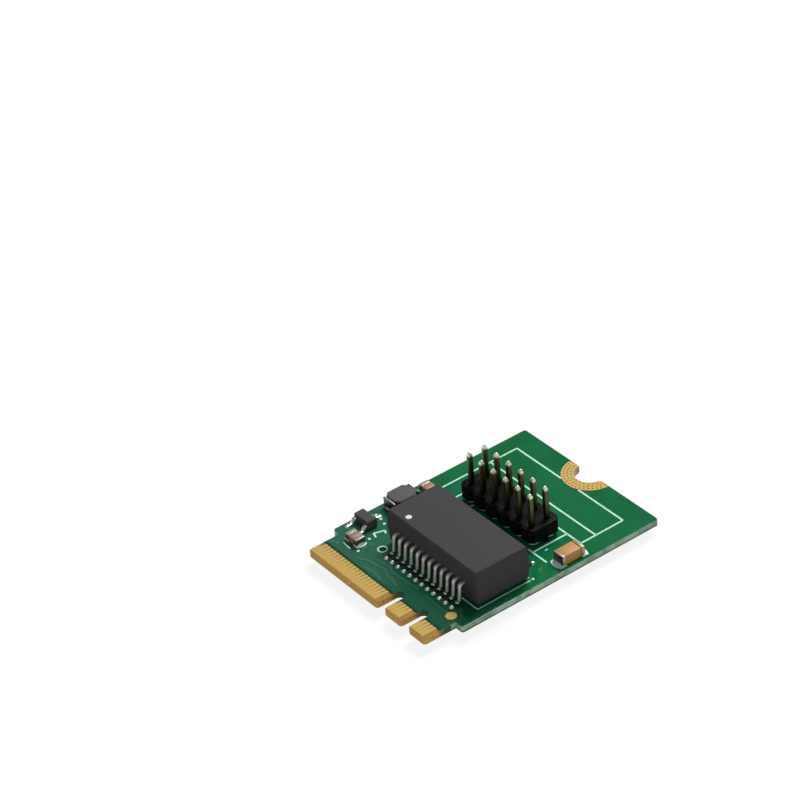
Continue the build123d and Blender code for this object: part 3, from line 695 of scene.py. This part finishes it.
# each corner of the outline has its place and its radius; the key slots' ends are full rounds
key_slots = [corner for left, right in KEY_SLOTS for corner in (
    (FRONT, left, MOUTH_ROUND), (SLOT_END, left, SLOT_ROUND),
    (SLOT_END, right, SLOT_ROUND), (FRONT, right, MOUTH_ROUND))]
notch_turns = [math.pi * (1.5 - i / NOTCH_STEPS) for i in range(NOTCH_STEPS + 1)]
notch = [(REAR + NOTCH_RADIUS * math.cos(a), NOTCH_RADIUS * math.sin(a), 0.0) for a in notch_turns]
board_corners = [
    (FRONT, TONGUE_SIDE, TONGUE_ROUND), *key_slots, (FRONT, -TONGUE_SIDE, TONGUE_ROUND),
    (SHOULDER, -TONGUE_SIDE, INNER_ROUND), (SHOULDER, -SIDE, CARD_ROUND), (REAR, -SIDE, CARD_ROUND), *notch,
    (REAR, SIDE, CARD_ROUND), (SHOULDER, SIDE, CARD_ROUND), (SHOULDER, TONGUE_SIDE, INNER_ROUND)]
outline = runs_mesh("board_outline", [[corner[:2] for corner in board_corners + board_corners[:1]]], 0)
radii = outline.attributes.new("corner", "FLOAT", "POINT")
radii.data.foreach_set("value", [radius for x, y, radius in board_corners])
grow("masked_board", board_tree(), outline, mask_green, "board_laminate", ["circuit_board"],
     smooth_angle=15, eased=0.06, thickness=BOARD_TOP - BOARD_UNDER, underside=BOARD_UNDER)

# contact positions count from the right, odd ones on top and even ones below; each key takes a run of them
CONTACT_MIDDLE, CONTACT_STEP, MIDDLE_CONTACT, LAST_CONTACT = -13.875, 0.25, 38, 75
KEYED_OUT = (*range(8, 16), *range(24, 32))
contact_rows = [
    [(CONTACT_MIDDLE, CONTACT_STEP * (n - MIDDLE_CONTACT))
     for n in range(first, LAST_CONTACT + 1, 2) if n not in KEYED_OUT]
    for first in (1, 2)]
plates = contact_plate_tree()
grow("edge_contacts_plated", plates, flat_spots("contacts", contact_rows[0], BOARD_TOP), contact_gold,
     "gold_plating", ["edge_contacts_top"])
grow("edge_contacts_plated_under", plates,
     flat_spots("contacts_under", contact_rows[1], BOARD_UNDER, underside=True), contact_gold,
     "gold_plating", ["edge_contacts_bottom"])
eased_copy("test_pad", "test_pad_plated", 0, contact_gold)
grow("screw_pad_stitched", stitched_pad_tree(), cad_copy("screw_pad"), pad_gold, "screw_pad_gold",
     ["screw_pad"])


# Leads and solder joints

gull_wings = gull_wing_tree()
beads = solder_bead_tree()
ramps = solder_ramp_tree()
cones = solder_cone_tree()


def lead_spots(name, centre, rows):
    """Places of a body's leads: each row has its side (+1 or -1 along X) and its places across."""
    return spots_mesh(name, [((centre.x, centre.y + y, 0), (0, 0, 0 if side > 0 else math.pi), (1, 1, 1))
                             for side, places in rows for y in places])


def bead_spots(name, centre, rows, joints):
    """Beads on the leads' feet: each joint has its reach from the body's middle, its height and its sizes."""
    return spots_mesh(name, [((centre.x + side * reach, centre.y + y, foot), (0, 0, 0), sizes)
                             for side, places in rows for y in places for reach, foot, sizes in joints])


def end_joints(name, node, chips, half, cap, reach, width, climb, underside=False, rim=0.1,
               finish=solder_bright):
    """Solder ramps at both ends of chips; each chip has its middle and the turn of its length."""
    tucked = cap - 0.05
    start = half - tucked
    level = BOARD_UNDER if underside else BOARD_TOP
    spots = []
    for x, y, turn in chips:
        for end in (turn, turn + math.pi):
            place = (x + start * math.cos(end), y + start * math.sin(end), level)
            spots.append((place, (math.pi if underside else 0, 0, end), (tucked + reach, width, climb)))
    grow(name, ramps, spots_mesh(name, spots), finish, "solder", [node], rim=rim,
         tuck=tucked / (tucked + reach))


# Line transformer

LEADS_PER_SIDE = 12
trafo = middle("transformer_body")
trafo_places = [lead - (LEADS_PER_SIDE - 1) / 2 for lead in range(LEADS_PER_SIDE)]
trafo_rows = [(side, trafo_places) for side in (1, -1)]
# a small bead at each lead's heel and a fuller one at its toe
trafo_joints = ((4.52, 1.92, (0.24, 0.23, 0.13)), (5.24, BOARD_TOP, (0.33, 0.25, 0.2)))
eased_copy("transformer_body", "transformer_moulding_body", 0, transformer_black)
grow("transformer_gull_wings", gull_wings, lead_spots("trafo_leads", trafo, trafo_rows), tin_dull,
     "tinned_leads", ["transformer_leads"])
grow("transformer_foot_solder", beads, bead_spots("trafo_feet", trafo, trafo_rows, trafo_joints),
     solder_bead, "solder", ["transformer_solder"])

# Pin header

eased_copy("header_body", "header_moulding", 0.05, header_black)
eased_copy("header_pins", "header_square_pins", 0.05, pin_gold)
header = middle("header_pins")
pin_spots = [(header.x + dx, header.y + dy) for dx in (-1, 1) for dy in (-5, -3, -1, 1, 3, 5)]
grow("header_pin_solder_top", cones, flat_spots("pin_tops", pin_spots, BOARD_TOP), solder_bright, "solder",
     ["header_solder_top"])
grow("header_pin_solder_under", cones, flat_spots("pin_unders", pin_spots, BOARD_UNDER, underside=True),
     solder_bright, "solder", ["header_solder_bottom"], height=0.45)

# Chips, regulator and inductor on top

eased_copy("isolation_capacitor_body", "isolation_ceramic", 0.06, tan_ceramic)
eased_copy("isolation_capacitor_caps", "isolation_end_caps", 0.08, cap_stained_and_shaded)
eased_copy("supply_capacitor_bodies", "supply_ceramics", 0.05, brown_ceramic)
eased_copy("supply_capacitor_caps", "supply_end_caps", 0.08, cap_tin)
eased_copy("regulator_body", "regulator_moulding_body", 0.05, regulator_grey)
regulator = middle("regulator_body")
regulator_rows = ((1, [0.0]), (-1, [-0.95, 0.95]))
regulator_joints = ((1.32, 1.84, (0.22, 0.24, 0.12)), (1.76, BOARD_TOP, (0.3, 0.28, 0.18)))
grow("regulator_gull_wings", gull_wings, lead_spots("regulator_leads", regulator, regulator_rows), tin_bright,
     "bright_leads", ["regulator_leads"], exit_reach=0.6, exit_height=2.3, knee_reach=0.9, heel_reach=1.2,
     toe_reach=1.68, foot_height=1.82, bend=0.2, strip_width=0.46, strip_thickness=0.16, edge_round=0.06)
grow("regulator_foot_solder", beads,
     bead_spots("regulator_feet", regulator, regulator_rows, regulator_joints), solder_bead, "solder",
     ["regulator_solder"])
eased_copy("inductor_body", "inductor_moulding_body", 0.06, inductor_grey)
eased_copy("inductor_strips", "inductor_end_strips", 0.07, strip_tin, steps=3)

isolation = middle("isolation_capacitor_body")
end_joints("isolation_end_solder", "isolation_capacitor_solder", [(isolation.x, isolation.y, 0.0)],
           half=1.5, cap=0.5, reach=0.55, width=1.75, climb=0.22)
end_joints("supply_end_solder", "supply_capacitor_solder",
           [(-10.45, 7.7, math.pi / 2), (0.35, 9.15, math.pi / 2)],
           half=1.0, cap=0.6, reach=0.28, width=1.3, climb=0.36)
inductor = middle("inductor_body")
end_joints("inductor_end_solder", "inductor_solder", [(inductor.x, inductor.y, 0.0)],
           half=1.7, cap=0.55, reach=0.16, width=2.0, climb=0.3, finish=solder_dull)

# Underside

eased_copy("controller_body", "controller_moulding_body", 0.04, controller_black)
eased_copy("controller_pads", "controller_pad_solder", 0.01, solder_bright, steps=1)
eased_copy("crystal_base", "crystal_tray", 0.04, white_ceramic)
eased_copy("crystal_lid", "crystal_seam_lid", 0.03, lid_metal)
eased_copy("crystal_pads", "crystal_pad_solder", 0.01, solder_bright, steps=1)
eased_copy("small_capacitor_bodies", "small_ceramics", 0.03, brown_ceramic)
eased_copy("small_capacitor_caps", "small_capacitor_end_caps", 0.04, cap_tin)
eased_copy("small_resistor_bodies", "small_resistor_glazed", 0.03, resistor_glaze)
eased_copy("small_resistor_caps", "small_resistor_end_caps", 0.03, cap_tin)
# rows of small chips stand behind, before and beside the controller
SMALL_CHIP_STEP = 1.3
small_chips = [(-0.4, -1 + SMALL_CHIP_STEP * i, 0.0) for i in (-2, -1, 0, 1, 2)]
small_chips += [(-9.7, -1 + SMALL_CHIP_STEP * i, 0.0) for i in (-1.5, -0.5, 0.5, 1.5)]
small_chips += [(-5 + SMALL_CHIP_STEP * i, -6.2, math.pi / 2) for i in (-2, -1, 0, 1, 2)]
end_joints("small_chip_end_solder", "small_chip_solder", small_chips,
           half=0.5, cap=0.25, reach=0.2, width=0.52, climb=0.16, underside=True, rim=0.2)

# Printed legend

flat_runs = flat_runs_tree()
dots = dot_tree()
ink_level = BOARD_TOP + INK_THICKNESS / 2
wide_ink = [
    [(12.15, 1.4), (12.15, 8.89), (1.91, 8.89)],
    [(12.15, -1.4), (12.15, -8.65), (6.5, -8.65)],
    [(8.47, 8.85), (8.47, -8.6)],
    [(1.93, 6.52), (6.43, 6.52), (6.43, -8.62)],
    [(1.9, -6.43), (6.4, -6.43)],
    [(1.85, -5.7), (1.85, -8.7)],
    [(-8.51, 6.78), (-8.3, 7.47), (-7.1, 7.07), (-7.33, 6.62)],
    [(2.0, 4.25), (2.46, 4.05)],
]
grow("legend_lines", flat_runs, runs_mesh("wide_ink", wide_ink, ink_level), legend_ink,
     width=0.22, thickness=INK_THICKNESS, corner_radius=0.12)
fine_ink = [
    [(-8.1, -7.24), (-8.1, -9.85), (-1.25, -9.85)],
    [(-1.1, -9.1), (-1.1, -9.46)],
    [(-11.53, 8.42), (-11.63, 7.09)],
    [(3.0, -7.06), (3.35, -7.06)],
    ring(*RING_CENTRE[:2], 0.49),
]
grow("legend_fine_lines", flat_runs, runs_mesh("fine_ink", fine_ink, ink_level), legend_ink,
     width=0.15, thickness=INK_THICKNESS, corner_radius=0.1)
ink_dots = [(-0.9, -9.85), (-6.18, 9.9), (-6.24, 8.96), (-6.45, 8.06), (-9.18, 7.04), (-11.27, 6.18)]
grow("legend_dots", dots, flat_spots("ink_dots", ink_dots, BOARD_TOP), legend_ink,
     radius=0.17, thickness=INK_THICKNESS, rim=0.02)
transformer_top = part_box("transformer_body")[1].z / MM
grow("pin_one_dot", dots, flat_spots("pin_one", [(-7.04, 2.48)], transformer_top), marking_ink,
     radius=0.34, thickness=INK_THICKNESS, rim=0.03)

under_ink_level = BOARD_UNDER - INK_THICKNESS / 2
under_ink = [
    [(-8.4, -3.2), (-8.4, -4.4), (-7.2, -4.4)],
    [(-2.8, -4.4), (-1.6, -4.4), (-1.6, -3.2)],
    [(-1.6, 1.2), (-1.6, 2.4), (-2.8, 2.4)],
    [(-7.2, 2.4), (-8.4, 2.4), (-8.4, 1.2)],
    [(-7.0, 3.6), (-3.0, 3.6), (-3.0, 6.9), (-7.0, 6.9), (-7.0, 3.6)],
    [(-8.6, -7.3), (-1.4, -7.3), (-1.4, -5.1), (-8.6, -5.1), (-8.6, -7.3)],
    [(1.6, -6.5), (6.5, -6.5), (6.5, 6.5), (1.6, 6.5), (1.6, -6.5)],
]
grow("underside_legend_lines", flat_runs, runs_mesh("under_ink", under_ink, under_ink_level), legend_ink,
     width=0.18, thickness=INK_THICKNESS, corner_radius=0.1)
under_dots = [(-8.9, 2.9), (1.0, 5.9)]
grow("underside_pin_one_dots", dots, flat_spots("under_dots", under_dots, BOARD_UNDER, underside=True),
     legend_ink, radius=0.2, thickness=INK_THICKNESS, rim=0.02)

# Etched runs and vias under the mask

VIA_RADIUS, VIA_RIM = 0.26, 0.02
copper_level = BOARD_TOP + COPPER_THICKNESS / 2
signal_runs = [
    [(-12.1, 5.3), (-11.44, 4.19), (-11.23, 2.76), (-11.04, 1.77), (-11.54, 0.82), (-11.48, -0.04),
     (-11.92, -1.22)],
    [(-10.74, 3.74), (-10.55, 2.74), (-10.46, 1.63), (-10.75, 1.09), (-10.77, 0.31), (-10.52, -3.33)],
    [(-12.4, 3.6), (-12.2, 2.4), (-12.3, 1.2), (-12.5, 0.6)],
    [(-10.75, -4.3), (-10.6, -5.2), (-10.7, -6.4), (-10.7, -8.2)],
]
grow("signal_runs", flat_runs, runs_mesh("signal_runs", signal_runs, copper_level), mask_copper,
     "board_laminate", width=0.34, thickness=COPPER_THICKNESS, corner_radius=0.4)
closed_vias = [(-9.57, 6.25), (-10.34, 6.27), (-12.0, 8.9), (-12.3, 9.4)]
grow("closed_vias", dots, flat_spots("via_spots", closed_vias, BOARD_TOP), mask_copper, "board_laminate",
     radius=VIA_RADIUS, thickness=COPPER_THICKNESS, rim=VIA_RIM)

under_copper_level = BOARD_UNDER - COPPER_THICKNESS / 2
# from contacts to the row of small chips before the controller, then from the controller towards the rear
# and to the crystal
under_runs = [
    [(-12.4, contact), (-12.1, contact), (-11.0, chip), (-10.42, chip)]
    for contact, chip in ((-1.0, -2.95), (0.0, -1.65), (1.0, -0.35), (2.0, 0.95))
]
under_runs += [
    [(-1.5, 2.9), (-0.4, 4.0), (0.2, 5.6), (2.6, 7.6), (7.6, 7.6)],
    [(-1.9, 3.0), (-0.9, 4.3), (-0.3, 5.95), (2.4, 8.2), (7.6, 8.2)],
    [(-1.5, -4.9), (-0.6, -5.6), (0.6, -7.2), (2.8, -7.7), (7.6, -7.7)],
    [(-1.2, -4.4), (0.1, -5.2), (1.2, -6.75), (3.0, -7.1), (7.6, -7.1)],
    [(-4.1, 2.6), (-4.1, 3.3)],
    [(-5.9, 2.6), (-5.9, 3.3)],
]
grow("underside_signal_runs", flat_runs, runs_mesh("under_runs", under_runs, under_copper_level), mask_copper,
     "board_laminate", width=0.26, thickness=COPPER_THICKNESS, corner_radius=0.4)
under_vias = [
    (-12.0, -3.2), (-12.0, -5.0), (-10.2, 4.6), (-9.9, 6.8), (8.4, 7.3), (8.4, -7.4), (9.4, 3.0), (9.4, -3.0),
    (-1.0, 8.4), (-2.2, -9.0), (5.0, 9.0), (5.0, -9.2), (-10.8, -8.6), (-8.6, 8.8), (11.0, 6.4), (11.0, -6.4),
]
grow("underside_closed_vias", dots, flat_spots("under_via_spots", under_vias, BOARD_UNDER, underside=True),
     mask_copper, "board_laminate", radius=VIA_RADIUS, thickness=COPPER_THICKNESS, rim=VIA_RIM)

# Floor, light and camera

FLOOR_REACH = 6.0
floor_mesh = bpy.data.meshes.new("floor")
floor_corners = [(x * FLOOR_REACH, y * FLOOR_REACH, 0) for x, y in ((-1, -1), (1, -1), (1, 1), (-1, 1))]
floor_mesh.from_pydata(floor_corners, [], [(0, 1, 2, 3)])
floor = bpy.data.objects.new("floor", floor_mesh)
scene.collection.objects.link(floor)
# White paper: plain white to the eye and in reflections, with the card's shadow kept.
paper = bpy.data.materials.new("White paper floor")
paper.use_nodes = True
sheet = paper.node_tree
sheet.nodes.clear()
path = add(sheet, "ShaderNodeLightPath").outputs
seen = add(sheet, "ShaderNodeMath", {0: path["Is Camera Ray"], 1: path["Is Glossy Ray"]}, operation="MAXIMUM")
shown = add(sheet, "ShaderNodeMath", {0: seen, 1: path["Is Transmission Ray"]}, operation="MAXIMUM")
# the bounce that the card takes is that of mid-grey paper, which keeps its sides dark
lit = add(sheet, "ShaderNodeBsdfDiffuse", {"Color": "#a8a8a8"})
dim = add(sheet, "ShaderNodeBsdfDiffuse", {"Color": "#6c6c6c"})
glow = add(sheet, "ShaderNodeEmission", {"Color": "#ffffff", "Strength": 0.86})
white = add(sheet, "ShaderNodeAddShader", {0: dim, 1: glow})
either = add(sheet, "ShaderNodeMixShader", {0: shown, 1: lit, 2: white})
add(sheet, "ShaderNodeOutputMaterial", {"Surface": either})
floor_mesh.materials.append(paper)

world = bpy.data.worlds.new("Studio")
scene.world = world
world.use_nodes = True
studio = world.node_tree
studio.nodes.clear()
sky = add(studio, "ShaderNodeTexCoord").outputs["Generated"]
rise = add(studio, "ShaderNodeSeparateXYZ", {0: sky}).outputs["Z"]
# white low down, where other views see past the floor, and a dim even room above
band = add(studio, "ShaderNodeMapRange", {
    "Value": rise, "From Min": 0.09, "From Max": 0.16, "To Min": 1.0, "To Max": 0.15},
    interpolation_type="SMOOTHSTEP")
room = add(studio, "ShaderNodeBackground", {"Color": "#ffffff", "Strength": band})
add(studio, "ShaderNodeOutputWorld", {"Surface": room})


def lamp(name, from_zenith, azimuth, side, level):
    """A square lamp that faces the card; at level 1 it alone shows a level face's colour as it is written."""
    distance = 0.7
    tilt, turn = math.radians(from_zenith), math.radians(azimuth)
    way = Vector((math.sin(tilt) * math.cos(turn), math.sin(tilt) * math.sin(turn), math.cos(tilt)))
    data = bpy.data.lights.new(name, "AREA")
    data.shape = "SQUARE"
    data.size = side
    data.energy = level * (math.pi * distance) ** 2 / math.cos(tilt)
    light = bpy.data.objects.new(name, data)
    light.location = way * distance
    light.rotation_euler = way.to_track_quat("Z", "Y").to_euler()
    scene.collection.objects.link(light)


# The main light stands behind the card, as in the photograph: tops are bright and the near sides fall dark.
# A small lamp on the near side leaves glints on the solder.
lamp("softbox behind", from_zenith=34, azimuth=25, side=0.29, level=0.82)
lamp("small lamp in front", from_zenith=60, azimuth=-124, side=0.16, level=0.075)

# The camera looks at the card from its contact end, as in the photograph.
AZIMUTH, ELEVATION, ROLL = (math.radians(a) for a in (-123.888, 34.789, -5.673))
SHIFT_RIGHT, SHIFT_UP, DISTANCE = 8.360, -14.090, 312.713
TARGET = Vector((0, 0, 1.3))
LEVEL_REACH = math.cos(ELEVATION)
back = Vector((LEVEL_REACH * math.cos(AZIMUTH), LEVEL_REACH * math.sin(AZIMUTH), math.sin(ELEVATION)))
right = Vector((-math.sin(AZIMUTH), math.cos(AZIMUTH), 0))
up = back.cross(right)
across = math.cos(ROLL) * right + math.sin(ROLL) * up
upward = -math.sin(ROLL) * right + math.cos(ROLL) * up
stand = (TARGET - SHIFT_RIGHT * across - SHIFT_UP * upward + DISTANCE * back) * MM
camera_data = bpy.data.cameras.new("camera")
camera_data.lens = 135
camera_data.sensor_width = 36
camera_data.clip_start = 0.01
camera_data.clip_end = 50
camera = bpy.data.objects.new("camera", camera_data)
camera.matrix_world = Matrix.Translation(stand) @ Matrix((across, upward, back)).transposed().to_4x4()
scene.collection.objects.link(camera)
scene.camera = camera
